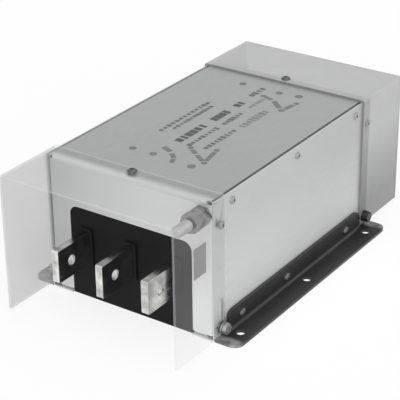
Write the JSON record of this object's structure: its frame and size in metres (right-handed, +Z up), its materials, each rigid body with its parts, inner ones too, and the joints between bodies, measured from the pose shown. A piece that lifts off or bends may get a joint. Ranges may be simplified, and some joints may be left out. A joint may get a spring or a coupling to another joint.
{
  "type": "emi line filter",
  "caption": "Power line filter: sheet-metal case, flat busbar terminals, earth studs, black mounting rails and clear terminal hoods.",
  "frame": {"origin": "centre of the base on the mounting plane", "axes": "+Y along the busbars towards the rear terminals, +X across them to the right, +Z up from the mounting plane"},
  "size_m": [0.254, 0.432, 0.1555],
  "materials": {
    "case_steel": "satin zinc-plated sheet with a fine rolled grain",
    "hood_clear": "clear faintly smoky sheet, polished faces, bright cut edges",
    "insulator_black": "black moulded, fine matt texture",
    "busbar_tinned": "tin-plated copper bar, satin",
    "rail_black": "black powder coat, low gloss",
    "fixing_plated": "bright zinc plating",
    "fixing_dark": "dark phosphated steel",
    "core_grey": "resin-coated ring core, matt grey",
    "moulding_ivory": "ivory insulating moulding",
    "board_green": "glass-fibre board, satin green",
    "capacitor_yellow": "plastic-cased film capacitor",
    "capacitor_blue": "plastic-cased film capacitor",
    "resistor_tan": "lacquered resistor"
  },
  "bodies": {
    "root": {"case_tray": "case_steel", "top_cover": "case_steel", "front_end_plate": "case_steel", "rear_end_plate": "case_steel", "front_insulator": "insulator_black", "rear_insulator": "insulator_black", "busbar_left": "busbar_tinned", "busbar_centre": "busbar_tinned", "busbar_right": "busbar_tinned", "front_hood": "hood_clear", "rear_hood": "hood_clear", "mounting_rail_left": "rail_black", "mounting_rail_right": "rail_black", "earth_stud_front": "fixing_plated", "earth_stud_rear": "fixing_plated", "earth_inner_nuts": "fixing_plated", "earth_washers": "fixing_plated", "earth_spring_washers": "fixing_plated", "earth_outer_nuts": "fixing_plated", "cover_screws": "fixing_plated", "cover_nuts": "fixing_plated", "rail_screws": "fixing_plated", "rail_nuts": "fixing_plated", "hood_top_screws": "fixing_dark", "hood_top_nuts": "fixing_plated", "hood_side_screws": "fixing_dark", "hood_side_nuts": "fixing_plated", "hood_bolts": "fixing_dark", "hood_bolt_washers": "fixing_dark", "hood_bolt_nuts": "fixing_plated", "plate_rivets": "fixing_plated", "choke_core_front": "core_grey", "choke_core_rear": "core_grey", "core_cradle": "moulding_ivory", "bar_spacer_front": "moulding_ivory", "bar_spacer_rear": "moulding_ivory", "core_strap_front": "fixing_plated", "core_strap_rear": "fixing_plated", "strap_screws": "fixing_plated", "capacitor_board_front": "board_green", "capacitor_board_rear": "board_green", "y_capacitors_front": "capacitor_blue", "y_capacitors_rear": "capacitor_blue", "resistors_front": "resistor_tan", "resistors_rear": "resistor_tan", "board_posts": "fixing_plated", "board_screws": "fixing_plated", "board_brackets_front": "fixing_plated", "board_brackets_rear": "fixing_plated", "x_capacitor_front_1": "capacitor_yellow", "x_capacitor_front_2": "capacitor_yellow", "x_capacitor_front_3": "capacitor_yellow", "x_capacitor_rear_1": "capacitor_yellow", "x_capacitor_rear_2": "capacitor_yellow", "x_capacitor_rear_3": "capacitor_yellow"}
  },
  "joints": []
}
